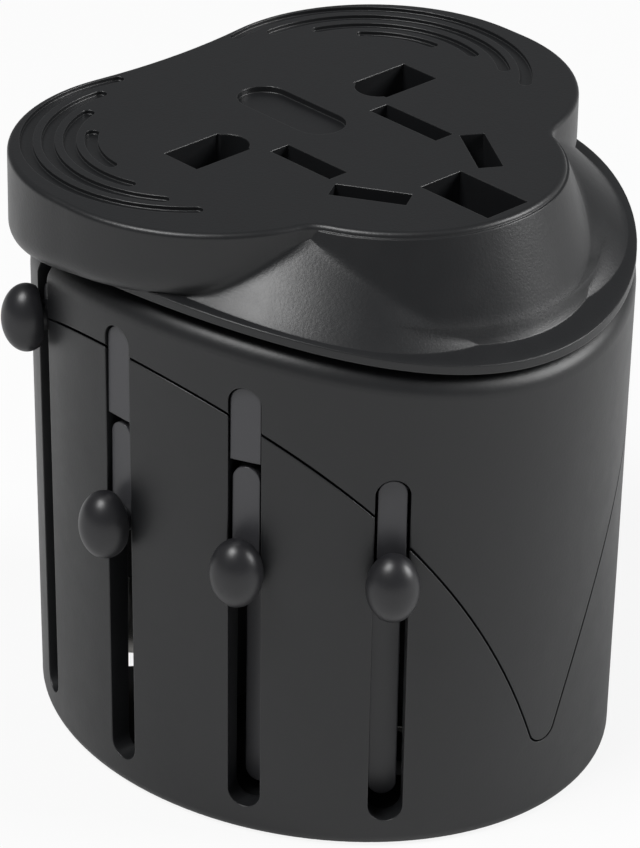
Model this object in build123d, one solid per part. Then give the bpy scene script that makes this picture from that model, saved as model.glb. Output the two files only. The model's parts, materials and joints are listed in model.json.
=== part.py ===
from build123d import *
from math import cos, hypot, radians, sin, sqrt
import os

# World travel adapter. Sizes in millimetres.
# Origin: centre of the flat base. +Z up, +Y from the earth hole towards the back,
# +X from the middle of the socket towards its right (neutral) hole.

# Case
body_width = 52.0            # across X at the shoulder
body_depth = 59.3            # across Y at the shoulder
shoulder_z = 48.0
base_inset = 0.6             # each side draws in this much from the shoulder to the base
wall = 2.0                   # at the base; a little more at the shoulder, because the bore is straight
floor = 2.2
base_edge_r = 1.0
shoulder_edge_r = 2.0

# Arched rim where the cap meets the case
arch_r = 69.0
arch_y = -5.0
arch_z = 51.2
rim_gap = 0.9
spigot_wall = 1.5
spigot_depth = 3.0
fit_gap = 0.3                # round a part that is dropped into another

# Stepped line between upper and lower shell, a pointed shield seen from the front
parting_tip_z = 4.9          # the sharp point, before rounding
parting_side_z = 45.8
parting_bulge = 3.1
parting_tip_r = 1.5
parting_gap = 0.2

# Cap
top_z = 59.3
cap_wall = 2.2
lobe_r = 17.0
lobe_x = 11.3
lobe_y = 5.8
lobe_length = 2.2            # a back lobe is this much longer than round, forward
lobe_under_r = 2.8
front_lobe_r = 15.4
front_lobe_y = -8.1
front_slope = 0.38           # outward per millimetre down
front_waist_r = 3.0
back_waist_r = 60.0
skirt_low_z = 47.1
skirt_low_x = 32.1
skirt_low_y = 29.6
skirt_top_x = 17.0
skirt_top_y = 19.5
back_skirt_z = 53.0
fan_deg = -39.8              # the right fan's direction, from +X; a fan falls away from each front waist
fan_z = 58.4
fan_top_reach = 19.6         # from the middle to the fan's upper end
fan_top_r = 18.7
fan_middle_reach = 25.6      # half way down
fan_middle_r = 19.4
bead_height = 0.8
bead_inset = 0.1
bead_step = 0.35             # the skirt starts this much inside the shoulder oval
top_edge_r = 0.5
plateau_thick = 2.5
cap_root_z = 36.0            # forms start here and are cut off at the rim

# Grip grooves on the two back lobes
groove_x = 11.2
groove_y = 7.0
groove_r = 14.6
groove_pitch = 1.95
groove_width = 1.2
groove_depth = 0.4
groove_middle = 27.0         # degrees, from +X towards +Y
groove_half_spans = (78.0, 65.0, 46.0, 23.0)
recess_length = 12.3
recess_width = 5.0
recess_y = 5.5
recess_depth = 0.6

# Socket holes
socket_y = 3.97
uk_hole_width = 6.5
uk_hole_x = 11.65
uk_hole_height = 4.4
round_pin_x = 9.5
round_hole_r = 2.2
blade_x = 6.35
blade_drop = 7.6             # below the line and neutral holes
blade_hole_width = 2.2
line_blade_hole = 7.7
neutral_blade_hole = 8.6
slant_x = 6.87
slant_drop = 16.1
slant_deg = 31.0
slant_hole_width = 2.3
slant_hole_length = 7.1
earth_drop = 22.1
earth_hole_width = 5.0
earth_hole_length = 8.4

# Slider slots in the wall
slot_pitch = 27.4            # degrees of the oval's parameter, slot 2 faces -X
slot_width = 3.2
slot_low_z = 2.8
key_gap = 0.15
slot_2_top = 48.1
slot_3_top = 46.3
slot_4_top = 38.5
key_low_z = 38.9

# Sliders: knob, cover strip in the slot and flange behind the wall
knob_z = 28.6
eu_knob_z = 43.0
travel = 24.0
eu_travel = 38.5
knob_half_width = 2.45
knob_half_height = 3.3
knob_half_depth = 2.3
knob_middle = 1.5            # outside the shoulder oval
knob_back = 0.45             # its flat back stands this far off the wall
neck_r = 1.4
stem_r = 1.0
running_gap = 0.05
strip_width = 2.6
strip_rise = 9.6
eu_strip_rise = 3.0
strip_drop = 1.4
strip_depth = 0.6
flange_width = 6.4
flange_depth = 2.9
flange_thick = 0.8
flange_rise = 4.0
rib_width = 2.6
rib_depth = 4.05
rib_thick = 1.3
rib_low_z = 3.5
fork_gap = 0.35
prong_width = 1.5
prong_depth = 6.2
arm_half_width = 2.4

# Plug carriages. The rows are chained from the back wall forward, see below.
carriage_top_z = 32.8
eu_bore_gap = 0.84           # between the rear block's round ends and the bore
row_gap = 1.1                # between the two rear rows, where bus bar legs hang
uk_half_length = 14.9
uk_half_depth = 2.5
uk_arm_inner = 15.5
uk_arm_outer = 19.5
uk_arm_half = 2.4
uk_earth_bar_reach = 5.0     # the bar's near edge from the earth pin's middle
uk_earth_bar_width = 4.4
uk_earth_bar_wall = 0.75
us_row_drop = 10.1           # in front of the UK row
us_half_length = 7.9
us_half_depth = 4.2
us_arm_drop = 0.2
au_earth_gap = 0.44          # between the UK earth pin's tab and the AU bar
au_row_rise = 1.5            # the AU row lies this much behind the bar's near edge
au_leg_inner = 4.05
au_leg_outer = 9.9
au_leg_rise = 5.3
au_bar_width = 4.0
au_arm_drop = 1.9
leaf_rise = 0.6              # contact leaves start this much above a carriage's underside
eu_half_length = 15.5
eu_half_depth = 5.0
eu_block_height = 26.0
eu_arm_across = 0.2
eu_arm_root = 4.0
eu_tip_rise = 0.3            # the parked tips stay this much above the floor's face

# Plug pins
uk_pin_width = 6.35
uk_pin_thick = 3.97
uk_pin_x = 11.11
uk_pin_length = 17.7
uk_earth_drop = 22.23
uk_earth_length = 22.7
uk_earth_depth = 7.97
us_pin_thick = 1.5
us_pin_width = 6.35
us_pin_length = 17.5
us_pin_hole_r = 1.55
us_pin_hole_up = 2.9
au_pin_x = 6.87
au_pin_thick = 1.6
au_pin_width = 6.35
au_pin_length = 17.1
eu_pin_r = 2.0
eu_pin_length = 19.0
sleeve_length = 9.0
eu_sleeve_length = 10.0
eu_sleeve_r = 1.8
sleeve_thick = 0.4
pin_root = 5.0               # how far a pin reaches up into its carriage
pin_tip_r = 0.6
tip_share = 0.3              # most of a flat pin's thickness that its tip rounding takes
round_tip_share = 0.5
sleeve_share = 0.2
aperture_gap = 0.4

# Chassis, socket block and conductors
deck_low_z = 34.0
deck_thick = 2.0
deck_gap = 0.4
rib_web = 3.0                # the ribs are held to the deck over this depth
key_sink = 0.35              # the keys' faces lie this much behind the shoulder oval
key_bite = 0.2
key_shoulder = 1.0
post_r = 2.3
post_low_z = 4.7
rear_post_rise = 2.7         # behind the US row
front_post_slot = 3.5        # half way between slots 3 and 4
front_post_across = -0.4
front_post_depth = 4.07
screw_r = 1.2
screw_head_r = 2.0
screw_head_height = 1.5
screw_sink = 0.5
screw_end_gap = 0.5
head_round_share = 0.3
shank_bevel_share = 0.4
cross_length_share = 1.1     # of the head's radius
cross_width_share = 0.28
case_screw_length = 10.0
cap_screw_r = 1.1
cap_screw_head_r = 2.0
cap_screw_sink = 1.2
cap_screw_inset = 0.1
cap_screw_top = 56.0
block_top_z = 52.0
block_gap = 0.3
block_wall = 1.5             # round the wells
well_gap = 0.2               # the wells are this much wider than the socket holes
well_floor = 1.0
shelf_low_z = 46.4
shelf_top_z = 47.6
shelf_half_x = 14.0
shelf_root_y = 7.0
shelf_y = 19.0
strip_metal = 0.4
contact_low_z = 37.2
contact_bar_top = 39.8
contact_leaf_top = 49.0
contact_x = 8.6              # inner face of a contact's bar
contact_bar = 0.5
contact_end_x = 13.5
contact_front_y = -14.0
contact_link = 1.4
blade_leaf_gap = 0.25
leaf_length = 5.0
slant_link_y = -12.1
tail_reach = 2.4
tail_y = 4.9
bus_thick = 0.6
bus_low_z = 3.6              # the legs' lower ends
bus_pad = 0.8
spine_inner = 4.5
spine_outer = 7.7
rear_strip_x = 2.5
rear_strip_depth = 2.0
rear_leg_inner = 9.5
rear_leg_outer = 13.0
mid_leg_gap = 0.5            # behind the US carriage
mid_leg_inner = 5.0
front_leg_x = 3.15
front_leg_rise = 0.6         # behind the AU bar's near edge
front_leg_width = 3.8
spine_overlap = 2.4
leaf_link = 1.0
link_share = 0.8             # of a round pin's core radius
fuse_r = 2.5
fuse_glass_inset = 0.2
fuse_length = 20.0
fuse_cap_length = 5.0
fuse_y = 15.0
fuse_z = 51.3
clip_width = 4.0
clip_thick = 0.5
clip_foot = 3.0
clip_mouth_share = 0.6       # the clip is open from this share of the fuse's radius upward

half_width = body_width / 2
half_depth = body_depth / 2
bore_x = half_width - base_inset - wall
bore_y = half_depth - base_inset - wall
deck_top_z = deck_low_z + deck_thick
clip_x = (fuse_length - fuse_cap_length) / 2
outside = 6.0                # cutting shapes reach at least this far past the case
past = 1.0                   # cuts run past the face that they open by this

# The rear block stands against the bore, and each row in front of it keeps its gap
eu_end_x = eu_half_length - eu_half_depth
eu_reach_x = bore_x - eu_half_depth - eu_bore_gap
eu_reach_y = bore_y - eu_half_depth - eu_bore_gap
eu_row_y = eu_reach_y * sqrt(1 - (eu_end_x / eu_reach_x) ** 2)
uk_row_y = eu_row_y - eu_half_depth - row_gap - uk_half_depth
uk_earth_y = uk_row_y - uk_earth_drop
uk_earth_bar_top = uk_earth_y + uk_earth_bar_reach
uk_earth_bar_low = uk_earth_bar_top - uk_earth_bar_width
us_row_y = uk_row_y - us_row_drop
us_arm_top = us_row_y - us_arm_drop
au_bar_top = uk_earth_y - uk_earth_depth / 2 - uk_earth_bar_wall - au_earth_gap
au_bar_low = au_bar_top - au_bar_width
au_row_y = au_bar_top + au_row_rise
au_leg_top = au_bar_top + au_leg_rise
au_arm_low = au_bar_top - au_arm_drop
rear_leg_y = uk_row_y + uk_half_depth + fit_gap
shaft_y = rear_leg_y         # the deck stops here, in front of the rear carriage
mid_leg_y = us_row_y + us_half_depth + mid_leg_gap
front_leg_low_y = au_bar_top + front_leg_rise
front_leg_top_y = front_leg_low_y + front_leg_width
spine_low_y = front_leg_low_y + spine_overlap
rear_post_x = (us_half_length + uk_arm_inner) / 2
rear_post_y = us_row_y + rear_post_rise


def parked_low(stroke):
    """The lowest that a parked piece may reach, so that it stays off the floor once it is down."""
    return stroke + floor + fit_gap


carriage_low_z = parked_low(travel)


def slab(sketch, low, high):
    """A flat sketch in plan, made solid between two heights."""
    return extrude(Plane.XY.offset(low) * sketch, high - low)


def box_between(x0, x1, y0, y1):
    """A plan rectangle given by its edges."""
    return Pos((x0 + x1) / 2, (y0 + y1) / 2) * Rectangle(abs(x1 - x0), abs(y1 - y0))


def block_between(x0, x1, y0, y1, z0, z1):
    return slab(box_between(x0, x1, y0, y1), z0, z1)


def mirrored(shape):
    """The shape and its twin on the other side of the YZ plane."""
    return shape + mirror(shape, about=Plane.YZ)


def everything_between(low, high):
    """A slab wider than the part, for cutting shapes off at a height."""
    return slab(Rectangle(2 * body_width, 2 * body_depth), low, high)


def keep_one(shape):
    """The largest solid of a cut, so that a node stays one piece."""
    return sorted(shape.solids(), key=lambda s: s.volume)[-1]


def save(shape, name):
    solids = list(shape.solids())
    shape = solids[0] if len(solids) == 1 else Compound(solids)
    shape.label = name
    export_step(shape, "parts/" + name + ".step")
    print(name, len(solids), "solid(s)", round(sum(s.volume for s in solids)), "mm3")


# Case outline

def tapered_oval(inset, low, high):
    """The case's oval wall, drawn in by inset, between two heights."""
    sections = []
    for z in (low, high):
        draw_in = inset + base_inset * (shoulder_z - z) / shoulder_z
        sections.append(Plane.XY.offset(z) * Ellipse(half_width - draw_in, half_depth - draw_in))
    return loft(sections)


def bore_oval(inset=0.0):
    return Ellipse(bore_x - inset, bore_y - inset)


def under_arch(grow=0.0):
    """Everything below the arched rim, raised by grow."""
    axis = Plane(origin=(0, arch_y, arch_z - arch_r), z_dir=(1, 0, 0))
    return axis * Cylinder(arch_r + grow, 3 * half_width)


def shield_region(grow=0.0):
    """Everything above the stepped line between the shells."""
    side = half_width + outside
    tip = (0, parting_tip_z)
    left = (-half_width, parting_side_z)
    right = (half_width, parting_side_z)
    above = [(-side, parting_side_z), (-side, top_z), (side, top_z), (side, parting_side_z)]
    edges = [
        SagittaArc(tip, left, -parting_bulge),
        SagittaArc(tip, right, parting_bulge),
        Polyline(left, *above, right),
    ]
    face = make_face(edges)
    tip_corner = face.vertices().sort_by(Axis.Y)[0]
    face = fillet(tip_corner, parting_tip_r)
    if grow:
        face = offset(face, amount=grow, kind=Kind.INTERSECTION)
    return extrude(Plane.XZ * face, half_depth + outside, both=True)


# Slots in the wall

def slot_frame(number):
    """Plane on the shoulder oval at a slot: x along the wall, y up, z outward."""
    angle = radians(180 + slot_pitch * (number - 2))
    x = half_width * cos(angle)
    y = half_depth * sin(angle)
    out_x = x / half_width ** 2
    out_y = y / half_depth ** 2
    size = hypot(out_x, out_y)
    outward = (out_x / size, out_y / size, 0)
    along = (-out_y / size, out_x / size, 0)
    return Plane(origin=(x, y, 0), x_dir=along, z_dir=outward)


def wall_piece(plane, sketch, near, far):
    """A sketch on the wall, made solid from depth near to depth far behind the shoulder oval."""
    return extrude(plane.offset(-far) * sketch, far - near)


def upright(width, low, high, across=0.0):
    """An upright rectangle on the wall."""
    return Pos(across, (low + high) / 2) * Rectangle(width, high - low)


def round_upright(width, low, high):
    """An upright strip with round ends on the wall."""
    return Pos(0, (low + high) / 2) * SlotOverall(high - low, width, rotation=90)


def slot_cut(number, low, high):
    opening = round_upright(slot_width, low, high)
    return wall_piece(slot_frame(number), opening, -outside, flange_depth + fit_gap)


def plan_point(number, across, depth):
    """A point beside a slot in plan: across the slot and into the case."""
    point = slot_frame(number).from_local_coords(Vector(across, 0, -depth))
    return (point.X, point.Y)


slot_tops = {1: top_z, 2: slot_2_top, 3: slot_3_top, 4: slot_4_top}
ribbed_slots = (2, 3, 4)
keyed_slots = (2, 3)


# Screws

left_front_post = plan_point(front_post_slot, front_post_across, front_post_depth)
right_front_post = (-left_front_post[0], left_front_post[1])
case_screw_spots = (
    (-rear_post_x, rear_post_y),
    (rear_post_x, rear_post_y),
    right_front_post,
    left_front_post,
)
cap_screw_spots = ((-12.5, -3.5), (12.5, -3.5), (0.0, socket_y))
standing = (Align.CENTER, Align.CENTER, Align.MIN)


def column(spot, radius, low, high):
    """A round upright post or hole."""
    return Pos(spot[0], spot[1], low) * Cylinder(radius, high - low, align=standing)


def screw(spot, head_low, length, shank_r, head_r, head_height):
    """Pan-head screw, head down, with a cross recess in the head."""
    shank_low = head_low + head_height
    head = column(spot, head_r, head_low, shank_low)
    head = fillet(head.edges().group_by(Axis.Z)[0], head_height * head_round_share)
    shank = column(spot, shank_r, shank_low, shank_low + length)
    shank = chamfer(shank.edges().group_by(Axis.Z)[-1], shank_r * shank_bevel_share)
    arm = Box(head_r * cross_length_share, head_r * cross_width_share, head_height)
    cross = arm + Rot(0, 0, 90) * arm
    return head + shank - Pos(spot[0], spot[1], head_low) * cross


# Plug pins

def slanted(side, sketch, x, row_y):
    """A plan sketch set at the slant of the angled blades, on one side."""
    return Pos(side * x, row_y) * Rot(0, 0, -side * slant_deg) * sketch


def pin_tip_rounded(shape, size):
    return fillet(shape.edges().group_by(Axis.Z)[0], size)


def flat_pin(spot, width, depth, tip_z, length, root_z, turn=0.0, sleeved=True):
    """A flat pin standing down from its carriage: the metal, and its sleeve or None."""
    place = Pos(spot[0], spot[1]) * Rot(0, 0, turn)
    full = place * Rectangle(width, depth)
    bare = length - sleeve_length if sleeved else length
    tip_r = min(pin_tip_r, width * tip_share, depth * tip_share)
    metal = pin_tip_rounded(slab(full, tip_z, tip_z + bare), tip_r)
    if not sleeved:
        return metal + slab(full, tip_z + bare, root_z), None
    thin = min(sleeve_thick, width * sleeve_share, depth * sleeve_share)
    core = place * Rectangle(width - 2 * thin, depth - 2 * thin)
    metal += slab(core, tip_z + bare, root_z)
    return metal, slab(full - core, tip_z + bare, carriage_low_z)


def round_pin(spot, tip_z, root_z, sleeve_top):
    """A round pin standing down from its carriage: the metal and its sleeve."""
    bare = eu_pin_length - eu_sleeve_length
    core_r = eu_sleeve_r - sleeve_thick
    metal = pin_tip_rounded(column(spot, eu_pin_r, tip_z, tip_z + bare), eu_pin_r * round_tip_share)
    metal += column(spot, core_r, tip_z + bare, root_z)
    sleeve = column(spot, eu_sleeve_r, tip_z + bare, sleeve_top)
    sleeve -= column(spot, core_r + running_gap, tip_z + bare, sleeve_top)
    return metal, sleeve


def pin_tip_z(length):
    """Height of a parked pin's tip: standing out by its length once the carriage is down."""
    return travel - length


pin_root_z = carriage_low_z + pin_root
eu_block_low = eu_travel - eu_pin_length + eu_tip_rise
eu_block_top = eu_block_low + eu_block_height


def uk_pins():
    parts = {}
    sleeves = None
    for side, name in ((-1, "line"), (1, "neutral")):
        metal, sleeve = flat_pin((side * uk_pin_x, uk_row_y), uk_pin_width, uk_pin_thick,
                                 pin_tip_z(uk_pin_length), uk_pin_length, pin_root_z)
        parts["uk_" + name + "_pin"] = metal
        sleeves = sleeve if sleeves is None else sleeves + sleeve
    earth, _ = flat_pin((0, uk_earth_y), uk_pin_thick, uk_earth_depth,
                        pin_tip_z(uk_earth_length), uk_earth_length, pin_root_z, sleeved=False)
    parts["uk_earth_pin"] = earth
    parts["uk_pin_sleeves"] = sleeves
    return parts


def us_pins():
    parts = {}
    for side, name in ((-1, "line"), (1, "neutral")):
        tip = pin_tip_z(us_pin_length)
        metal, _ = flat_pin((side * blade_x, us_row_y), us_pin_thick, us_pin_width,
                            tip, us_pin_length, pin_root_z, sleeved=False)
        hole = Plane(origin=(side * blade_x, us_row_y, tip + us_pin_hole_up), z_dir=(1, 0, 0))
        parts["us_" + name + "_pin"] = metal - hole * Cylinder(us_pin_hole_r, 2 * us_pin_thick)
    return parts


def au_pins():
    parts = {}
    sleeves = None
    for side, name in ((-1, "line"), (1, "neutral")):
        metal, sleeve = flat_pin((side * au_pin_x, au_row_y), au_pin_thick, au_pin_width,
                                 pin_tip_z(au_pin_length), au_pin_length, pin_root_z,
                                 turn=-side * slant_deg)
        parts["au_" + name + "_pin"] = metal
        sleeves = sleeve if sleeves is None else sleeves + sleeve
    parts["au_pin_sleeves"] = sleeves
    return parts


def eu_pins():
    parts = {}
    sleeves = None
    tip = eu_block_low - eu_pin_length
    for side, name in ((-1, "line"), (1, "neutral")):
        metal, sleeve = round_pin((side * round_pin_x, eu_row_y), tip, eu_block_low + pin_root, eu_block_low)
        parts["eu_" + name + "_pin"] = metal
        sleeves = sleeve if sleeves is None else sleeves + sleeve
    parts["eu_pin_sleeves"] = sleeves
    return parts


# Contact leaves on the carriages, one beside each live pin

def uk_contacts():
    face = uk_row_y + uk_half_depth
    pin_face = uk_row_y + uk_pin_thick / 2 - sleeve_thick
    return mirrored(block_between(rear_leg_inner, rear_leg_outer - strip_metal, pin_face, face,
                                  carriage_low_z + leaf_rise, pin_root_z))


def eu_contacts():
    face = eu_row_y - eu_half_depth
    core_r = eu_sleeve_r - sleeve_thick
    top = eu_block_low + pin_root
    leaf = block_between(rear_leg_inner, rear_leg_outer - strip_metal, face, face + strip_metal,
                         eu_block_low + leaf_rise, top)
    link = block_between(rear_leg_inner, rear_leg_inner + bus_pad, face, eu_row_y - core_r * link_share,
                         top, top + leaf_rise)
    return mirrored(leaf + link)


def us_contacts():
    face = us_row_y + us_half_depth
    half = us_pin_thick / 2
    return mirrored(block_between(blade_x - half, blade_x + half, us_row_y + us_pin_width / 2, face,
                                  carriage_low_z + leaf_rise, pin_root_z))


def au_contacts():
    low = carriage_low_z + leaf_rise
    inner = au_leg_inner
    near = au_bar_top - strip_metal
    leaf = block_between(inner, inner + strip_metal, near, front_leg_top_y, low, pin_root_z)
    link = block_between(inner, inner + leaf_link, near, au_bar_top + strip_metal, low, pin_root_z)
    return mirrored(leaf + link)


# Carriages and sliders

def fork(number, low, high):
    """What joins a carriage's arm to its slider: two prongs astride the chassis rib."""
    plane = slot_frame(number)
    inner = rib_width / 2 + fork_gap
    outer = inner + prong_width
    bridge_depth = rib_depth + rib_thick + fork_gap
    shape = wall_piece(plane, upright(2 * outer, low, high), bridge_depth, prong_depth)
    for side in (-1, 1):
        prong = upright(prong_width, low, high, side * (inner + outer) / 2)
        shape += wall_piece(plane, prong, flange_depth + flange_thick, prong_depth)
    return shape


def arm_to(number, root):
    """Plan outline of the arm from a slider's fork to two points on its carriage."""
    depth = rib_depth + rib_thick + fork_gap
    first = plan_point(number, -arm_half_width, depth)
    last = plan_point(number, arm_half_width, depth)
    return make_hull(Polyline(first, last, *root, close=True).edges())


def slider(number, middle_z, rise, stroke, name):
    """Knob and cover strip, both sliding in the slot."""
    plane = slot_frame(number)
    low = parked_low(stroke)
    strip = wall_piece(plane, round_upright(strip_width, middle_z - strip_drop, middle_z + rise),
                       strip_depth, flange_depth)
    flange = wall_piece(plane, upright(flange_width, low, middle_z + flange_rise),
                        flange_depth, flange_depth + flange_thick)
    middle = plane * Pos(0, middle_z, 0)
    hole = middle * Pos(0, 0, -flange_depth) * Cylinder(stem_r + running_gap, 3 * flange_depth)
    cover = strip + flange - hole
    dome = middle * Pos(0, 0, knob_middle) * scale(
        Sphere(1), by=(knob_half_width, knob_half_height, knob_half_depth))
    dome -= wall_piece(plane, upright(flange_width, middle_z - 2 * flange_rise, middle_z + 2 * flange_rise),
                       -knob_back, flange_depth)
    neck = middle * Pos(0, 0, -strip_depth) * Cylinder(neck_r, strip_depth + knob_middle, align=standing)
    stem_length = flange_depth + flange_thick
    stem = middle * Pos(0, 0, -stem_length) * Cylinder(stem_r, stem_length, align=standing)
    return {name + "_knob": dome + neck + stem, name + "_slider": cover}


def drilled(carriage, pins):
    """A carriage with its pins and contact leaves let into it."""
    for shape in pins.values():
        carriage = carriage - shape
    return keep_one(carriage)


def uk_set():
    low, high = carriage_low_z, carriage_top_z
    bar = box_between(-uk_half_length, uk_half_length, uk_row_y - uk_half_depth, uk_row_y + uk_half_depth)
    right = box_between(uk_half_length, uk_arm_outer, uk_earth_bar_low, uk_row_y + uk_half_depth)
    right -= box_between(uk_half_length, uk_arm_inner, uk_earth_bar_low, uk_row_y - uk_half_depth)
    earth_half = uk_pin_thick / 2 + uk_earth_bar_wall
    cross = box_between(-earth_half, uk_arm_outer, uk_earth_bar_low, uk_earth_bar_top)
    tab = box_between(-earth_half, earth_half, uk_earth_y - uk_earth_depth / 2 - uk_earth_bar_wall,
                      uk_earth_bar_top)
    back = uk_row_y + uk_half_depth
    left = box_between(-uk_arm_outer, -uk_half_length, -uk_arm_half, back)
    arm = arm_to(2, [(-uk_arm_inner, uk_arm_half), (-uk_arm_inner, -uk_arm_half)])
    body = slab((bar + right + cross + tab + left + arm) & bore_oval(fit_gap), low, high)
    body += fork(2, low, high)
    parts = uk_pins()
    parts["uk_contacts"] = uk_contacts()
    parts["uk_carriage"] = drilled(body, parts)
    parts.update(slider(2, knob_z, strip_rise, travel, "uk"))
    return parts


def us_set():
    low, high = carriage_low_z, carriage_top_z
    bar = box_between(-us_half_length, us_half_length, us_row_y - us_half_depth, us_row_y + us_half_depth)
    body = slab(bar, low, high)
    body += slab(arm_to(3, [(-us_half_length, us_row_y - us_half_depth), (-us_half_length, us_arm_top)]),
                 low, high)
    body += fork(3, low, high)
    parts = us_pins()
    parts["us_contacts"] = us_contacts()
    parts["us_carriage"] = drilled(body, parts)
    parts.update(slider(3, knob_z, strip_rise, travel, "us"))
    return parts


def au_set():
    low, high = carriage_low_z, carriage_top_z
    leg = box_between(au_leg_inner, au_leg_outer, au_bar_low, au_leg_top)
    bar = box_between(-au_leg_outer, au_leg_outer, au_bar_low, au_bar_top)
    arm = arm_to(4, [(-au_leg_outer, au_arm_low), (-au_leg_outer, au_row_y)])
    body = slab((bar + mirrored(leg) + arm) & bore_oval(fit_gap), low, high)
    body += fork(4, low, high)
    parts = au_pins()
    parts["au_contacts"] = au_contacts()
    parts["au_carriage"] = drilled(body, parts)
    parts.update(slider(4, knob_z, strip_rise, travel, "au"))
    return parts


def eu_set():
    plan = Pos(0, eu_row_y) * SlotOverall(2 * eu_half_length, 2 * eu_half_depth)
    block = slab(plan, eu_block_low, eu_block_top)
    near = flange_depth + flange_thick
    front = eu_row_y - eu_half_depth
    outline = [plan_point(1, -flange_width / 2, near), plan_point(1, eu_arm_across, near),
               (-eu_end_x, front), (-eu_end_x, eu_row_y + eu_arm_root)]
    arm = make_hull(Polyline(*outline, close=True).edges())
    body = block + slab(arm, parked_low(eu_travel), eu_block_top)
    parts = eu_pins()
    parts["eu_contacts"] = eu_contacts()
    parts["eu_carriage"] = drilled(body, parts)
    parts.update(slider(1, eu_knob_z, eu_strip_rise, eu_travel, "eu"))
    return parts


# Lower and upper shell

def floor_apertures():
    """Plan sketch of the holes that the pins come out of."""
    grow = 2 * aperture_gap
    holes = Pos(0, eu_row_y) * SlotOverall(2 * eu_half_length + grow, 2 * eu_half_depth + grow)
    holes += Pos(0, uk_earth_y) * Rectangle(uk_pin_thick + grow, uk_earth_depth + grow)
    for side in (-1, 1):
        holes += Pos(side * uk_pin_x, uk_row_y) * Rectangle(uk_pin_width + grow, uk_pin_thick + grow)
        holes += Pos(side * blade_x, us_row_y) * Rectangle(us_pin_thick + grow, us_pin_width + grow)
        holes += slanted(side, Rectangle(au_pin_thick + grow, au_pin_width + grow), au_pin_x, au_row_y)
    return holes


def case_wall():
    """Both shells as one, before they are parted: wall, floor, slots and screw seats."""
    outer = tapered_oval(0, 0, arch_z + 1)
    outer = fillet(outer.edges().group_by(Axis.Z)[0], base_edge_r)
    outer = keep_one(outer & under_arch())
    rim = outer.edges().filter_by(lambda e: e.center().Z > shoulder_z / 2 and e.length > body_width)
    outer = fillet(rim, shoulder_edge_r)
    case = outer - slab(bore_oval(), floor, top_z)
    for spot in case_screw_spots:
        case += column(spot, post_r, floor / 2, post_low_z) & tapered_oval(wall / 2, 0, shoulder_z)
    for spot in case_screw_spots:
        case -= column(spot, screw_r + running_gap, -past, post_low_z + past)
        case -= column(spot, screw_head_r + fit_gap, -past, screw_sink + screw_head_height)
    case -= slab(floor_apertures(), -past, floor + past)
    for number, high in slot_tops.items():
        case -= slot_cut(number, slot_low_z, high)
    return case


def shells():
    case = case_wall()
    lower = keep_one(case - shield_region(parting_gap))
    upper = keep_one(case & shield_region())
    return {"lower_shell": lower, "upper_shell": upper}


# Cap

def lobe_outline(side, inset=0.0):
    """Plan outline of a back lobe, a little longer than round."""
    radius = lobe_r - inset
    outline = SlotCenterToCenter(lobe_length, radius * 2, rotation=90)
    return Pos(side * lobe_x, lobe_y - lobe_length / 2) * outline


def trefoil(inset=0.0):
    """Plan outline of the plateau, drawn in by inset."""
    discs = Pos(0, front_lobe_y) * Circle(front_lobe_r)
    for side in (-1, 1):
        discs += lobe_outline(side)
    waists = [v for v in discs.vertices() if v.Y < 0 and abs(v.X) > lobe_x / 2]
    outline = fillet(waists, front_waist_r)
    back = [v for v in outline.vertices() if abs(v.X) < 0.01 and v.Y > lobe_y]
    outline = fillet(back, back_waist_r)
    return offset(outline, amount=-inset) if inset else outline


def rim_outline(inset):
    """Plan outline of the cap's lower edge."""
    return Ellipse(half_width - bead_step - inset, half_depth - bead_step - inset)


def fan_section(reach, radius, z, inset):
    """A level section of the right fan, which ends at a reach from the middle."""
    centre = reach - radius
    place = Pos(centre * cos(radians(fan_deg)), centre * sin(radians(fan_deg)))
    return Plane.XY.offset(z) * place * Circle(radius - inset)


def skirt(inset):
    """The cap's sloping skirt: a fan that falls from each front waist, and a lower slope behind."""
    rim = rim_outline(inset)
    right_half = box_between(0, half_width, -half_depth, half_depth)
    oval = Ellipse(skirt_low_x - inset, skirt_low_y - inset)
    low = Plane.XY.offset(skirt_low_z) * oval
    back = Plane.XY.offset(back_skirt_z - inset) * Ellipse(skirt_top_x - inset, skirt_top_y - inset)
    middle = fan_section(fan_middle_reach, fan_middle_r, (skirt_low_z + fan_z) / 2, inset)
    top = fan_section(fan_top_reach, fan_top_r, fan_z, inset)
    fan = loft([low, middle, top]) & slab(rim & right_half, cap_root_z, top_z)
    fan &= everything_between(cap_root_z, fan_z - inset)
    form = slab(oval, cap_root_z, skirt_low_z) + loft([low, back])
    return (form & slab(rim, cap_root_z, top_z)) + mirrored(fan)


def plateau(inset, edge_r):
    """The top of the cap: a thin trefoil slab with a rounded upper edge."""
    top = slab(trefoil(inset), top_z - plateau_thick, top_z)
    return fillet(top.edges().group_by(Axis.Z)[-1], edge_r) if edge_r else top


def front_lobe(inset):
    """The front lobe, leaning outward all the way down to the rim."""
    drop = top_z - cap_root_z
    high = Plane.XY.offset(top_z) * Pos(0, front_lobe_y) * Circle(front_lobe_r - inset)
    low = Plane.XY.offset(top_z - drop) * Pos(0, front_lobe_y) * Circle(
        front_lobe_r - inset + front_slope * drop)
    return loft([low, high]) & slab(rim_outline(inset), cap_root_z, top_z)


def back_lobe(side, inset, under_r):
    """An upright back lobe that overhangs the case, rounded underneath."""
    lobe = slab(lobe_outline(side, inset), cap_root_z, top_z)
    lobe = keep_one(lobe - under_arch(rim_gap))
    if not under_r:
        return lobe
    under = [e for e in lobe.edges() if e.center().Z < top_z - plateau_thick and e.length > lobe_r]
    return fillet(under, under_r)


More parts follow.
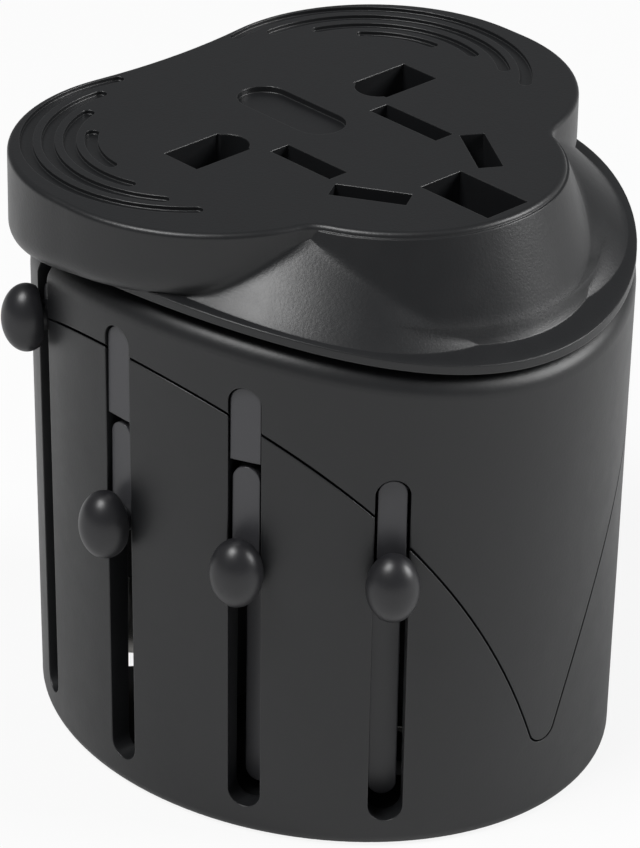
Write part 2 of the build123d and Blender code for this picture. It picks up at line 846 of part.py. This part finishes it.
def cap_form(inset=0.0, under_r=0.0, edge_r=0.0):
    """The cap's outer shape, or with an inset the hollow inside it."""
    form = skirt(inset) + front_lobe(inset)
    form += slab(trefoil(inset) & box_between(-lobe_x, lobe_x, lobe_y, half_depth), cap_root_z, top_z)
    for side in (-1, 1):
        form += back_lobe(side, inset, under_r)
    if edge_r:
        form &= everything_between(0, top_z - edge_r)
    return form + plateau(inset, edge_r)


def socket_holes(grow=0.0):
    """Plan sketch of the holes in the top face."""
    spread = 2 * grow
    holes = Pos(0, socket_y - earth_drop) * Rectangle(earth_hole_width + spread, earth_hole_length + spread)
    lengths = {-1: line_blade_hole, 1: neutral_blade_hole}
    for side in (-1, 1):
        holes += Pos(side * uk_hole_x, socket_y) * Rectangle(uk_hole_width + spread, uk_hole_height + spread)
        holes += Pos(side * round_pin_x, socket_y) * Circle(round_hole_r + grow)
        holes += Pos(side * blade_x, socket_y - blade_drop) * Rectangle(
            blade_hole_width + spread, lengths[side] + spread)
        holes += slanted(side, Rectangle(slant_hole_width + spread, slant_hole_length + spread),
                         slant_x, socket_y - slant_drop)
    return holes


def block_outline(inset=0.0):
    """Plan outline that holds all the socket wells, with a wall round them."""
    return make_hull(socket_holes(block_wall - inset).edges())


def groove(side, index):
    """One curved grip groove on a back lobe, as a plan sketch."""
    radius = groove_r - groove_pitch * index
    half = groove_half_spans[index]
    middle = groove_middle if side > 0 else 180 - groove_middle
    arc = CenterArc((side * groove_x, groove_y), radius, middle - half, 2 * half)
    return make_face(offset(arc.edge(), amount=groove_width / 2, side=Side.BOTH).edges())


def socket_cap():
    outer = keep_one(cap_form(0, lobe_under_r, top_edge_r) - under_arch(rim_gap))
    cap = outer - (cap_form(cap_wall) & everything_between(cap_root_z, top_z - cap_wall))
    bead = slab(Ellipse(half_width - bead_inset, half_depth - bead_inset), cap_root_z, top_z)
    bead &= under_arch(rim_gap + bead_height)
    bead -= under_arch(rim_gap)
    bead -= slab(bore_oval(fit_gap), cap_root_z, top_z)
    spigot = slab(bore_oval(fit_gap) - bore_oval(fit_gap + spigot_wall), cap_root_z, top_z)
    spigot &= under_arch(rim_gap + cap_wall)
    spigot -= under_arch(-spigot_depth)
    spigot -= wall_piece(slot_frame(1), upright(flange_width + 2 * wall, cap_root_z, arch_z), 0, prong_depth)
    spigot -= block_between(-half_width, half_width, shaft_y, half_depth, 0, eu_block_top + fit_gap)
    cap += bead + spigot
    cap += slab(block_outline(), block_top_z + block_gap, top_z - cap_wall / 2) & outer
    cap -= slab(socket_holes(), block_top_z, top_z + past)
    for spot in cap_screw_spots:
        cap -= column(spot, cap_screw_r + running_gap, block_top_z, cap_screw_top + screw_end_gap)
    recess = Pos(0, recess_y) * SlotOverall(recess_length, recess_width, rotation=90)
    cap -= slab(recess, top_z - recess_depth, top_z + past)
    for side in (-1, 1):
        for index in range(len(groove_half_spans)):
            cap -= slab(groove(side, index), top_z - groove_depth, top_z + past)
    return {"socket_cap": keep_one(cap)}


# Chassis

def chassis():
    """Deck with screw posts, slot ribs and the keys that close the tops of two slots."""
    deck = slab(bore_oval(deck_gap), deck_low_z, deck_top_z)
    deck -= block_between(-half_width, half_width, shaft_y, half_depth, 0, top_z)
    for number in slot_tops:
        deck -= wall_piece(slot_frame(number), upright(flange_width + 2 * deck_gap, deck_low_z, deck_top_z),
                           -outside, rib_depth)
    frame = deck
    rib_back = rib_depth + rib_thick
    for spot in case_screw_spots:
        frame += column(spot, post_r, post_low_z, deck_top_z) & slab(bore_oval(deck_gap), 0, top_z)
    for number in ribbed_slots:
        plane = slot_frame(number)
        frame += wall_piece(plane, round_upright(rib_width, rib_low_z, deck_top_z), rib_depth, rib_back)
        frame += wall_piece(plane, upright(rib_width, deck_low_z, deck_top_z), rib_depth, rib_depth + rib_web)
    for number in keyed_slots:
        plane = slot_frame(number)
        high = slot_tops[number] - key_gap
        frame += wall_piece(plane, upright(rib_width, deck_low_z, high - key_shoulder), rib_depth, rib_back)
        key = round_upright(slot_width - 2 * key_gap, key_low_z, high)
        key += upright(slot_width - 2 * key_gap, key_low_z, key_low_z + slot_width)
        frame += wall_piece(plane, key, key_sink, rib_depth + key_bite)
    screw_end = screw_sink + screw_head_height + case_screw_length
    for spot in case_screw_spots:
        frame -= column(spot, screw_r + running_gap, 0, screw_end + screw_end_gap)
    for spot in cap_screw_spots:
        frame -= column(spot, cap_screw_r + running_gap, deck_low_z - past, deck_top_z + past)
        frame -= column(spot, cap_screw_head_r + running_gap, deck_low_z - past, deck_low_z + cap_screw_sink)
    return frame


def socket_block():
    """The block with the socket wells, the pockets for the contacts and the fuse shelf."""
    block = slab(block_outline(), deck_top_z, block_top_z)
    block += block_between(-shelf_half_x, shelf_half_x, shelf_root_y, shelf_y, shelf_low_z, shelf_top_z)
    block -= slab(socket_holes(well_gap), deck_top_z + well_floor, block_top_z + past)
    for spot in cap_screw_spots:
        block -= column(spot, cap_screw_r + running_gap, deck_top_z - past, block_top_z + past)
    return block


# Conductors

def contact(side):
    """Socket contact: a bar below the wells with a leaf beside each hole, and a tail.

    The line contact's tail runs along the shelf to the fuse, the neutral one's goes down to its bus bar.
    """
    leaf_y = socket_y + uk_hole_height / 2 + well_gap
    inner = side * contact_x
    outer = side * (contact_x + contact_bar)
    bar = block_between(inner, outer, contact_front_y, leaf_y + strip_metal, contact_low_z, contact_bar_top)
    leaf = block_between(inner, side * contact_end_x, leaf_y, leaf_y + strip_metal,
                         contact_low_z, contact_leaf_top)
    blade_face = side * (blade_x + blade_hole_width / 2 + blade_leaf_gap)
    blade_y = socket_y - blade_drop
    blade_leaf = block_between(blade_face, blade_face + side * strip_metal, blade_y - leaf_length / 2,
                               blade_y + leaf_length / 2, contact_low_z, contact_leaf_top)
    blade_link = block_between(blade_face, outer, blade_y - contact_link / 2, blade_y + contact_link / 2,
                               contact_low_z, contact_bar_top)
    reach = slant_hole_width / 2 + blade_leaf_gap + strip_metal / 2
    slant_leaf = slab(slanted(side, Pos(side * reach, 0) * Rectangle(strip_metal, leaf_length),
                              slant_x, socket_y - slant_drop), contact_low_z, contact_leaf_top)
    slant_link = block_between(inner - side * contact_bar, outer, slant_link_y - contact_link / 2,
                               slant_link_y + contact_link / 2, contact_low_z, contact_bar_top)
    if side < 0:
        tail = block_between(inner - tail_reach, inner, leaf_y, fuse_y - clip_foot / 2,
                             shelf_top_z, shelf_top_z + strip_metal)
    else:
        tail = block_between(inner, outer, tail_y, leaf_y, deck_low_z, contact_low_z)
    return bar + leaf + blade_leaf + blade_link + slant_leaf + slant_link + tail


def bus(side):
    """Bus bar: a strip under the deck with legs hanging between the carriages.

    The line bus also rises behind the socket block and runs along the shelf to the fuse.
    """
    high = deck_low_z
    low = deck_low_z - bus_thick
    rear_y = rear_leg_y + strip_metal
    strip_low_y = rear_leg_y - rear_strip_depth
    front_leg_outer = front_leg_x + strip_metal
    bar = block_between(side * rear_strip_x, side * rear_leg_outer, strip_low_y, rear_y, low, high)
    bar += block_between(side * spine_inner, side * spine_outer, spine_low_y, rear_leg_y, low, high)
    bar += block_between(side * front_leg_x, side * spine_outer, front_leg_low_y, front_leg_top_y, low, high)
    bar += block_between(side * rear_leg_inner, side * rear_leg_outer, rear_leg_y, rear_y, bus_low_z, high)
    bar += block_between(side * mid_leg_inner, side * spine_outer, mid_leg_y, mid_leg_y + strip_metal,
                         bus_low_z, high)
    bar += block_between(side * front_leg_x, side * front_leg_outer, front_leg_low_y, front_leg_top_y,
                         bus_low_z, high)
    if side > 0:
        return bar + block_between(spine_outer, contact_x + contact_bar + bus_pad, tail_y - bus_pad,
                                   tail_y + 2 * bus_pad, low, high)
    strip_top = shelf_top_z + strip_metal
    clip_side = clip_x + clip_width / 2
    bar += block_between(-spine_inner, -rear_strip_x, rear_leg_y, rear_y, low, strip_top)
    shelf_strip_y = rear_leg_y + contact_link
    bar += block_between(-spine_inner, clip_side, rear_leg_y, shelf_strip_y, shelf_top_z, strip_top)
    bar += block_between(clip_x, clip_side, rear_leg_y, fuse_y - clip_foot / 2, shelf_top_z, strip_top)
    return bar


def fuse_clip(x):
    """A spring clip that holds one end of the fuse."""
    ring = Pos(0, fuse_z) * (Circle(fuse_r + running_gap + clip_thick) - Circle(fuse_r + running_gap))
    ring -= box_between(-2 * fuse_r, 2 * fuse_r, fuse_z + fuse_r * clip_mouth_share, fuse_z + 2 * fuse_r)
    foot = box_between(-clip_foot / 2, clip_foot / 2, shelf_top_z, fuse_z - fuse_r / 2)
    foot -= Pos(0, fuse_z) * Circle(fuse_r + running_gap)
    plane = Plane(origin=(x, fuse_y, 0), x_dir=(0, 1, 0), z_dir=(1, 0, 0))
    return extrude(plane * (ring + foot), clip_width / 2, both=True)


def fuse_parts():
    axis = Plane(origin=(0, fuse_y, fuse_z), z_dir=(1, 0, 0))
    glass = axis * Cylinder(fuse_r - fuse_glass_inset, fuse_length - fuse_cap_length)
    caps = None
    for side in (-1, 1):
        end = axis * Pos(0, 0, side * clip_x) * Cylinder(fuse_r, fuse_cap_length)
        end -= glass
        caps = end if caps is None else caps + end
    return {"fuse_tube": glass, "fuse_caps": caps, "fuse_clips": fuse_clip(-clip_x) + fuse_clip(clip_x)}


def conductors():
    return {"line_contact": contact(-1), "neutral_contact": contact(1),
            "line_bus": bus(-1), "neutral_bus": bus(1)}


def screws():
    case = [screw(spot, screw_sink, case_screw_length, screw_r, screw_head_r, screw_head_height)
            for spot in case_screw_spots]
    head_low = deck_low_z + cap_screw_inset
    head_height = cap_screw_sink - cap_screw_inset
    length = cap_screw_top - head_low - head_height
    cap = [screw(spot, head_low, length, cap_screw_r, cap_screw_head_r, head_height)
           for spot in cap_screw_spots]
    return {"case_screws": Compound(case), "cap_screws": Compound(cap)}


def main():
    os.makedirs("parts", exist_ok=True)
    parts = {}
    parts.update(shells())
    parts.update(socket_cap())
    parts.update(screws())
    parts.update(conductors())
    parts.update(fuse_parts())
    parts.update(eu_set())
    parts.update(uk_set())
    parts.update(us_set())
    parts.update(au_set())
    frame = chassis()
    block = socket_block()
    for name in ("line_contact", "neutral_contact", "line_bus"):
        frame -= parts[name]
        block -= parts[name]
    parts["chassis"] = keep_one(frame)
    parts["socket_block"] = keep_one(block)
    for name, shape in parts.items():
        save(shape, name)


main()
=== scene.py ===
import json
import math

import bpy
from mathutils import Matrix, Vector


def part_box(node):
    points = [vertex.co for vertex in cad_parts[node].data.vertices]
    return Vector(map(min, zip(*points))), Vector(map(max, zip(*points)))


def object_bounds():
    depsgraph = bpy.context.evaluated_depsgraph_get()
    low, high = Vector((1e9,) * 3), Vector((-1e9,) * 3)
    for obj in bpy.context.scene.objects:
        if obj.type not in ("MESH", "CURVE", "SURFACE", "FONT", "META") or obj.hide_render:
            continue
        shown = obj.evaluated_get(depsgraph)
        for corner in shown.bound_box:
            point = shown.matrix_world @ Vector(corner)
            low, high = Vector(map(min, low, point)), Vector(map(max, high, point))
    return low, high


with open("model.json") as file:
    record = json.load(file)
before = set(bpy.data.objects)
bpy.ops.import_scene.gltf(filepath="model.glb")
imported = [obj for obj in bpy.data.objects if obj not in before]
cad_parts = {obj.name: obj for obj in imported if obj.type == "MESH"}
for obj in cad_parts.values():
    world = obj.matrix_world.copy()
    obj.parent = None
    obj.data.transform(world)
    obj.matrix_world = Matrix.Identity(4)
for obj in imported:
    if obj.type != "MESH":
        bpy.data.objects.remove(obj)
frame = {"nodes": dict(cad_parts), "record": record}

bl_info = {
    "name": "Travel adapter looks",
    "version": (1, 0, 0),
    "blender": (4, 5, 0),
    "location": "View3D > Sidebar > Adapter",
    "description": "Moulded plastic, metal, light and camera for a travel adapter",
    "category": "Object",
}

MM = 0.001
CAD_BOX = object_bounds()
SLOT_COLOURS = {m["slot"]: m["base_color"][:3] for m in frame["record"]["materials"]}
NODE_SLOTS = {s["node"]: s["material_slot"] for s in frame["record"]["subparts"]}

# The cap's rim lies on an arch about an axis along X
ARCH_RADIUS = 69.9 * MM
ARCH_CROWN_Y = -5.0 * MM
ARCH_CROWN_Z = 52.1 * MM

# Depths below the cap's top, and heights above its rim, over which the skirt's soft valleys fade in
SKIRT_BELOW_TOP = (0.9 * MM, 2.4 * MM)
SKIRT_ABOVE_RIM = (0.3 * MM, 1.6 * MM)

# Moulded plastic: an edge shows where the soft normal turns from the flat one, from the first cosine
# to the second, and gets a painted highlight there; patches of cloudiness and of handling vary the colour
# and the roughness
EDGE_COSINES = (0.985, 0.80)
# How much of the painted edge highlight goes into the colour
EDGE_HIGHLIGHT_SHARE = 0.6
EDGE_ROUGHNESS = 0.06
CLOUD_SIZE = 9 * MM
CLOUD_SHARE = 0.5
CLOUD_LIGHT = 0.004
CLOUD_ROUGHNESS = 0.08
HANDLING_SIZE = 2.2 * MM
HANDLING_ROUGHNESS = 0.10

# Metal: rolling marks along Z, and tarnish in patches that darkens and dulls it
MARKS_PER_METRE = 40.0
MARKS_DEPTH = 0.004 * MM
MARKS_ROUGHNESS = 0.12
TARNISH_SIZE = 3 * MM
TARNISH_SHARE = 0.4
TARNISH_DARKENING = 0.72
TARNISH_ROUGHNESS = 0.10

# Glass: fingermarks in patches between two roughnesses
GLASS_PATCH = 4 * MM
GLASS_ROUGHNESS = (0.02, 0.09)

# The camera, fitted to the photograph
CAMERA_PLACE = (-0.259645, -0.271773, 0.233108)
CAMERA_AZIMUTH = math.radians(-43.586)
CAMERA_ELEVATION = math.radians(28.511)
CAMERA_ROLL = math.radians(0.981)
CAMERA_LENS = 194.1
CAMERA_NEAREST = 10 * MM

# How much of the white background shows in reflections, and how white the camera sees the floor
MIRRORED = 0.12
FLOOR_GLOW = 0.88
FLOOR_HEIGHT = -0.02 * MM
STUDIO_GREY = (0.75, 0.77, 0.8)
STUDIO_STRENGTH = 0.10

# Soft boxes: degrees left of the far side of the photograph, degrees up, and power in watts
LAMPS = {"high_left": (128, 61, 6.5), "right": (-90, 27, 6.0)}
LAMP_WIDTH = 0.40
LAMP_DISTANCE = 0.9


# Settings that a user would change

class AdapterSizes(bpy.types.PropertyGroup):
    """Sizes of the surface detail and the floor, in metres."""
    valley_radius: bpy.props.FloatProperty(
        name="Valley radius", description="Radius that the valleys of the cap's skirt seem to have",
        default=1.6 * MM, min=0, unit="LENGTH")
    edge_radius: bpy.props.FloatProperty(
        name="Edge radius", description="Radius that moulded edges seem to have", default=0.18 * MM,
        min=0, unit="LENGTH")
    grain: bpy.props.FloatProperty(
        name="Grain", description="Size of the spark-eroded grain", default=0.28 * MM, min=0.01 * MM,
        unit="LENGTH")
    floor: bpy.props.FloatProperty(
        name="Floor", description="Width of the floor", default=6.0, min=0.5, unit="LENGTH")


class AdapterColours(bpy.types.PropertyGroup):
    """Colours of the finishes."""
    shell: bpy.props.FloatVectorProperty(
        name="Shell", description="Moulded shells and cap", subtype="COLOR", default=(0.009, 0.0095, 0.0105))
    knob: bpy.props.FloatVectorProperty(
        name="Knobs", description="Slider knobs", subtype="COLOR", default=(0.014, 0.014, 0.016))
    inner: bpy.props.FloatVectorProperty(
        name="Inner grey", description="Chassis and cover strips", subtype="COLOR",
        default=SLOT_COLOURS["grey_inner"])
    dark: bpy.props.FloatVectorProperty(
        name="Inner black", description="Carriages and socket block", subtype="COLOR",
        default=SLOT_COLOURS["dark_inner"])
    brass: bpy.props.FloatVectorProperty(
        name="Brass", description="Contacts and bus bars", subtype="COLOR", default=SLOT_COLOURS["brass"])
    plated: bpy.props.FloatVectorProperty(
        name="Plated pins", description="Plug pins", subtype="COLOR", default=SLOT_COLOURS["plated_pin"])
    steel: bpy.props.FloatVectorProperty(
        name="Steel", description="Screws and fuse caps", subtype="COLOR", default=SLOT_COLOURS["steel"])
    floor: bpy.props.FloatVectorProperty(
        name="Floor", description="Floor of the stage", subtype="COLOR", default=(0.8, 0.8, 0.8))


# Shader sums

class Wire:
    """A node's output socket that takes part in sums."""

    def __init__(self, tree, socket):
        self.tree = tree
        self.socket = socket

    def sum_node(self, operation, first, second):
        node = self.tree.nodes.new("ShaderNodeMath")
        node.operation = operation
        for socket, value in zip(node.inputs, (first, second)):
            if isinstance(value, Wire):
                self.tree.links.new(value.socket, socket)
            else:
                socket.default_value = value
        return Wire(self.tree, node.outputs[0])

    def __add__(self, other):
        return self.sum_node("ADD", self, other)

    def __radd__(self, other):
        return self.sum_node("ADD", other, self)

    def __sub__(self, other):
        return self.sum_node("SUBTRACT", self, other)

    def __rsub__(self, other):
        return self.sum_node("SUBTRACT", other, self)

    def __mul__(self, other):
        return self.sum_node("MULTIPLY", self, other)

    def __rmul__(self, other):
        return self.sum_node("MULTIPLY", other, self)


class Nodes:
    """The node tree of a material or a world being made."""

    def __init__(self, tree):
        self.tree = tree

    def node(self, kind, settings=None, inputs=None, out=0):
        """Adds a node, sets its settings and then its sockets, and gives one output."""
        node = self.tree.nodes.new("ShaderNode" + kind)
        for name, value in (settings or {}).items():
            setattr(node, name, value)
        for name, value in (inputs or {}).items():
            self.feed(node.inputs[name], value)
        return Wire(self.tree, node.outputs[out])

    def feed(self, socket, value):
        """Links a wire to a socket, or sets the socket to a value."""
        if isinstance(value, Wire):
            self.tree.links.new(value.socket, socket)
        elif socket.type == "RGBA" and len(value) == 3:
            socket.default_value = (*value, 1.0)
        else:
            socket.default_value = value

    def seen(self, mirrored):
        """1 where the camera looks, straight or through glass, and a share of it in reflections."""
        camera = self.node("LightPath", out="Is Camera Ray")
        through = self.node("LightPath", out="Is Transmission Ray")
        glossy = self.node("LightPath", out="Is Glossy Ray")
        return camera + through + glossy * mirrored

    def end_with(self, shader):
        """Links a shader to the tree's output."""
        ends = [n for n in self.tree.nodes if n.bl_idname.startswith("ShaderNodeOutput")]
        self.feed(ends[0].inputs[0], shader)


class Finish(Nodes):
    """A material being made, with the shader that it ends in."""

    def __init__(self, name, **constants):
        self.material = bpy.data.materials.new(name)
        self.material.use_nodes = True
        super().__init__(self.material.node_tree)
        self.shader = self.tree.nodes["Principled BSDF"]
        for socket, value in constants.items():
            self.set(socket.replace("_", " "), value)

    def set(self, name, value):
        self.feed(self.shader.inputs[name], value)

    def place(self):
        return self.node("TexCoord", out="Object")

    def vector(self, operation, first, second, out="Vector"):
        return self.node("VectorMath", {"operation": operation}, {0: first, 1: second}, out)

    def dot(self, first, second):
        return self.vector("DOT_PRODUCT", first, second, out="Value")

    def scaled(self, vector, share):
        return self.node("VectorMath", {"operation": "SCALE"}, {0: vector, "Scale": share})

    def noise(self, size, detail=2.0, roughness=0.5):
        """Noise whose blobs are about size metres across."""
        return self.node("TexNoise", inputs={"Vector": self.place(), "Scale": 1 / size, "Detail": detail,
                                             "Roughness": roughness})

    def ramp(self, value, low, high, to_low=0.0, to_high=1.0):
        """A smooth step from to_low at low to to_high at high."""
        return self.node("MapRange", {"interpolation_type": "SMOOTHSTEP"},
                         {"Value": value, "From Min": low, "From Max": high, "To Min": to_low,
                          "To Max": to_high})

    def mix(self, share, first, second):
        """A colour between two others."""
        return self.node("Mix", {"data_type": "RGBA"}, {0: share, 6: first, 7: second}, out=2)

    def bump(self, height, distance, strength, normal=None):
        """A normal that a height of so many metres tilts."""
        inputs = {"Height": height, "Distance": distance, "Strength": strength}
        if normal is not None:
            inputs["Normal"] = normal
        return self.node("Bump", inputs=inputs)


def lighter(colour, amount):
    return tuple(min(1.0, c + amount) for c in colour)


def darker(colour, share):
    return tuple(c * share for c in colour)


# Finishes

def skirt_share(finish):
    """1 on the cap's sloping skirt, 0 on its top face and at its rim, which follows an arch along Y."""
    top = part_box("socket_cap")[1][2]
    place = finish.place()
    height = finish.dot(place, (0, 0, 1))
    past_crown = finish.dot(place, (0, 1, 0)) - ARCH_CROWN_Y
    rim = ARCH_CROWN_Z - past_crown * past_crown * (0.5 / ARCH_RADIUS)
    return finish.ramp(top - height, *SKIRT_BELOW_TOP) * finish.ramp(height - rim, *SKIRT_ABOVE_RIM)


def moulded(name, colour, roughness, grain_depth, edge_highlight, soft_skirt=False):
    """Moulded plastic: spark-eroded grain, soft edges painted a little lighter as a highlight, faint
    cloudiness.
    """
    sizes = bpy.context.scene.adapter_sizes
    finish = Finish(name, IOR=1.5, Specular_IOR_Level=0.5)
    soft = finish.node("Bevel", {"samples": 8}, {"Radius": sizes.edge_radius})
    flat = finish.node("NewGeometry", out="True Normal")
    edge = finish.ramp(finish.dot(soft, flat), *EDGE_COSINES)
    if soft_skirt:
        share = skirt_share(finish)
        wide = finish.node("Bevel", {"samples": 16}, {"Radius": sizes.valley_radius})
        soft = finish.vector("ADD", finish.scaled(soft, 1 - share), finish.scaled(wide, share))
        edge = edge * (1 - share)
    grain = finish.noise(sizes.grain, 3.0, 0.6)
    cloud = finish.noise(CLOUD_SIZE)
    handling = finish.noise(HANDLING_SIZE, 4.0, 0.65)
    body = finish.mix(cloud * CLOUD_SHARE, colour, lighter(colour, CLOUD_LIGHT))
    # Painted highlight: along edges the colour is mixed towards a lighter one
    finish.set("Base Color", finish.mix(edge * EDGE_HIGHLIGHT_SHARE, body, lighter(colour, edge_highlight)))
    patches = (cloud - 0.5) * CLOUD_ROUGHNESS + (handling - 0.5) * HANDLING_ROUGHNESS
    finish.set("Roughness", roughness + patches - edge * EDGE_ROUGHNESS)
    finish.set("Normal", finish.bump(grain, grain_depth, 1.0, soft))
    return finish.material


def stamped(name, colour, roughness, streak):
    """Stamped or plated metal with faint lengthwise rolling marks, streak metres apart."""
    finish = Finish(name, Metallic=1.0)
    stretch = (1 / streak, 1 / streak, MARKS_PER_METRE)
    lines = finish.node("Mapping", inputs={"Vector": finish.place(), "Scale": stretch})
    marks = finish.node("TexNoise", inputs={"Vector": lines, "Scale": 1.0, "Detail": 2.0})
    tarnish = finish.ramp(finish.noise(TARNISH_SIZE, 3.0), 0.45, 0.75)
    finish.set("Base Color", finish.mix(tarnish * TARNISH_SHARE, colour, darker(colour, TARNISH_DARKENING)))
    finish.set("Roughness", roughness + (marks - 0.5) * MARKS_ROUGHNESS + tarnish * TARNISH_ROUGHNESS)
    finish.set("Normal", finish.bump(marks, MARKS_DEPTH, 0.6))
    return finish.material


def clear_glass(name):
    """The fuse's glass tube."""
    finish = Finish(name, Base_Color=(0.9, 0.94, 0.93), Transmission_Weight=1.0, IOR=1.47)
    finish.set("Roughness", finish.ramp(finish.noise(GLASS_PATCH), 0.3, 0.8, *GLASS_ROUGHNESS))
    return finish.material


def floor_finish(colour):
    """Pale floor that the camera sees almost white, with the object's shadow kept."""
    finish = Finish("floor_pale", Base_Color=tuple(colour), Roughness=0.9)
    glow = finish.node("Emission", inputs={"Strength": 1.0})
    lit = Wire(finish.tree, finish.shader.outputs[0])
    seen = finish.seen(MIRRORED) * FLOOR_GLOW
    finish.end_with(finish.node("MixShader", inputs={0: seen, 1: lit, 2: glow}))
    return finish.material


def dress(piece, material):
    piece.data.materials.clear()
    piece.data.materials.append(material)


def dress_slot(slot, material):
    """Gives a finish to every CAD piece of a material slot."""
    for node, piece in frame["nodes"].items():
        if NODE_SLOTS[node] == slot:
            dress(piece, material)


# Stage

def set_floor(sizes, colours):
    """A flat floor just under the object."""
    bpy.ops.object.select_all(action="DESELECT")
    bpy.ops.mesh.primitive_plane_add(size=sizes.floor, location=(0, 0, FLOOR_HEIGHT))
    floor = bpy.context.object
    floor.name = "floor"
    dress(floor, floor_finish(colours.floor))


def set_world(scene):
    """White behind the object, and an even grey light on it."""
    world = bpy.data.worlds.new("studio")
    scene.world = world
    world.use_nodes = True
    nodes = Nodes(world.node_tree)
    light = nodes.node("Background", inputs={"Color": STUDIO_GREY, "Strength": STUDIO_STRENGTH})
    white = nodes.node("Background", inputs={"Color": (1.0, 1.0, 1.0), "Strength": 1.0})
    nodes.end_with(nodes.node("MixShader", inputs={0: nodes.seen(MIRRORED), 1: light, 2: white}))


def soft_box(name, azimuth, elevation, power):
    """A square soft box that faces the object, at angles in degrees as LAMPS has them."""
    turn = CAMERA_AZIMUTH + math.radians(azimuth)
    rise = math.radians(elevation)
    ahead = Vector((-math.sin(turn), math.cos(turn), 0))
    target = Vector((0, 0, 0.5 * CAD_BOX[1][2]))
    place = target + (ahead * math.cos(rise) + Vector((0, 0, math.sin(rise)))) * LAMP_DISTANCE
    data = bpy.data.lights.new(name, "AREA")
    data.shape = "SQUARE"
    data.size = LAMP_WIDTH
    data.energy = power
    box = bpy.data.objects.new(name, data)
    bpy.context.scene.collection.objects.link(box)
    box.location = place
    box.rotation_euler = (target - place).to_track_quat("-Z", "Y").to_euler()


def set_camera(scene):
    """The photograph's camera: place, azimuth, elevation, roll and lens."""
    azimuth, elevation, roll = CAMERA_AZIMUTH, CAMERA_ELEVATION, CAMERA_ROLL
    back = Vector((math.sin(azimuth) * math.cos(elevation), -math.cos(azimuth) * math.cos(elevation),
                   math.sin(elevation)))
    right = Vector((math.cos(azimuth), math.sin(azimuth), 0))
    up = back.cross(right)
    turned_right = right * math.cos(roll) + up * math.sin(roll)
    turned_up = up * math.cos(roll) - right * math.sin(roll)
    data = bpy.data.cameras.new("camera")
    data.lens = CAMERA_LENS
    data.clip_start = CAMERA_NEAREST
    camera = bpy.data.objects.new("camera", data)
    scene.collection.objects.link(camera)
    turn = Matrix((turned_right, turned_up, back)).transposed().to_4x4()
    camera.matrix_world = Matrix.Translation(CAMERA_PLACE) @ turn
    scene.camera = camera


# Operators

class ADAPTER_OT_shells(bpy.types.Operator):
    """Finish the shells and the socket cap, the cap with soft valleys"""
    bl_idname = "adapter.shells"
    bl_label = "Shells and cap"

    def execute(self, context):
        colour = context.scene.adapter_colours.shell
        shell = moulded("shell_black", colour, roughness=0.42, grain_depth=0.010 * MM, edge_highlight=0.03)
        cap = moulded("cap_black", colour, roughness=0.38, grain_depth=0.016 * MM, edge_highlight=0.03,
                      soft_skirt=True)
        dress_slot("black_shell", shell)
        dress(frame["nodes"]["socket_cap"], cap)
        return {"FINISHED"}


class ADAPTER_OT_sliders(bpy.types.Operator):
    """Finish the slider knobs, and the cover strips and chassis behind them"""
    bl_idname = "adapter.sliders"
    bl_label = "Knobs and inner plastic"

    def execute(self, context):
        colours = context.scene.adapter_colours
        knob = moulded("knob_black", colours.knob, roughness=0.36, grain_depth=0.004 * MM, edge_highlight=0.02)
        grey = moulded("inner_grey", colours.inner, roughness=0.34, grain_depth=0.003 * MM, edge_highlight=0.03)
        dark = moulded("inner_black", colours.dark, roughness=0.5, grain_depth=0.008 * MM, edge_highlight=0.02)
        dress_slot("knob_black", knob)
        dress_slot("grey_inner", grey)
        dress_slot("dark_inner", dark)
        return {"FINISHED"}


class ADAPTER_OT_metal(bpy.types.Operator):
    """Finish the pins, the contacts, the screws and the fuse"""
    bl_idname = "adapter.metal"
    bl_label = "Metal and fuse"

    def execute(self, context):
        colours = context.scene.adapter_colours
        dress_slot("brass", stamped("contact_brass", colours.brass, roughness=0.3, streak=0.25 * MM))
        dress_slot("plated_pin", stamped("pin_plate", colours.plated, roughness=0.2, streak=0.3 * MM))
        dress_slot("steel", stamped("screw_steel", colours.steel, roughness=0.3, streak=0.2 * MM))
        dress_slot("fuse_glass", clear_glass("fuse_glass"))
        return {"FINISHED"}


class ADAPTER_OT_stage(bpy.types.Operator):
    """Set the floor, the lamps and the camera"""
    bl_idname = "adapter.stage"
    bl_label = "Stage"

    def execute(self, context):
        scene = context.scene
        set_floor(scene.adapter_sizes, scene.adapter_colours)
        set_world(scene)
        for name, (azimuth, elevation, power) in LAMPS.items():
            soft_box(name, azimuth, elevation, power)
        set_camera(scene)
        scene.view_settings.view_transform = "Standard"
        return {"FINISHED"}


class ADAPTER_PT_panel(bpy.types.Panel):
    """The adapter's settings and steps"""
    bl_idname = "ADAPTER_PT_panel"
    bl_label = "Travel adapter"
    bl_space_type = "VIEW_3D"
    bl_region_type = "UI"
    bl_category = "Adapter"

    def draw(self, context):
        for group in (context.scene.adapter_sizes, context.scene.adapter_colours):
            for name in group.__annotations__:
                self.layout.prop(group, name)
        for operator in OPERATORS:
            self.layout.operator(operator.bl_idname)


OPERATORS = (ADAPTER_OT_shells, ADAPTER_OT_sliders, ADAPTER_OT_metal, ADAPTER_OT_stage)
CLASSES = (AdapterSizes, AdapterColours, *OPERATORS, ADAPTER_PT_panel)


def register():
    for cls in CLASSES:
        bpy.utils.register_class(cls)
    bpy.types.Scene.adapter_sizes = bpy.props.PointerProperty(type=AdapterSizes)
    bpy.types.Scene.adapter_colours = bpy.props.PointerProperty(type=AdapterColours)


def unregister():
    del bpy.types.Scene.adapter_colours
    del bpy.types.Scene.adapter_sizes
    for cls in reversed(CLASSES):
        bpy.utils.unregister_class(cls)


def main():
    register()
    for operator in OPERATORS:
        group, name = operator.bl_idname.split(".")
        getattr(getattr(bpy.ops, group), name)()


if __name__ == "__main__":
    main()
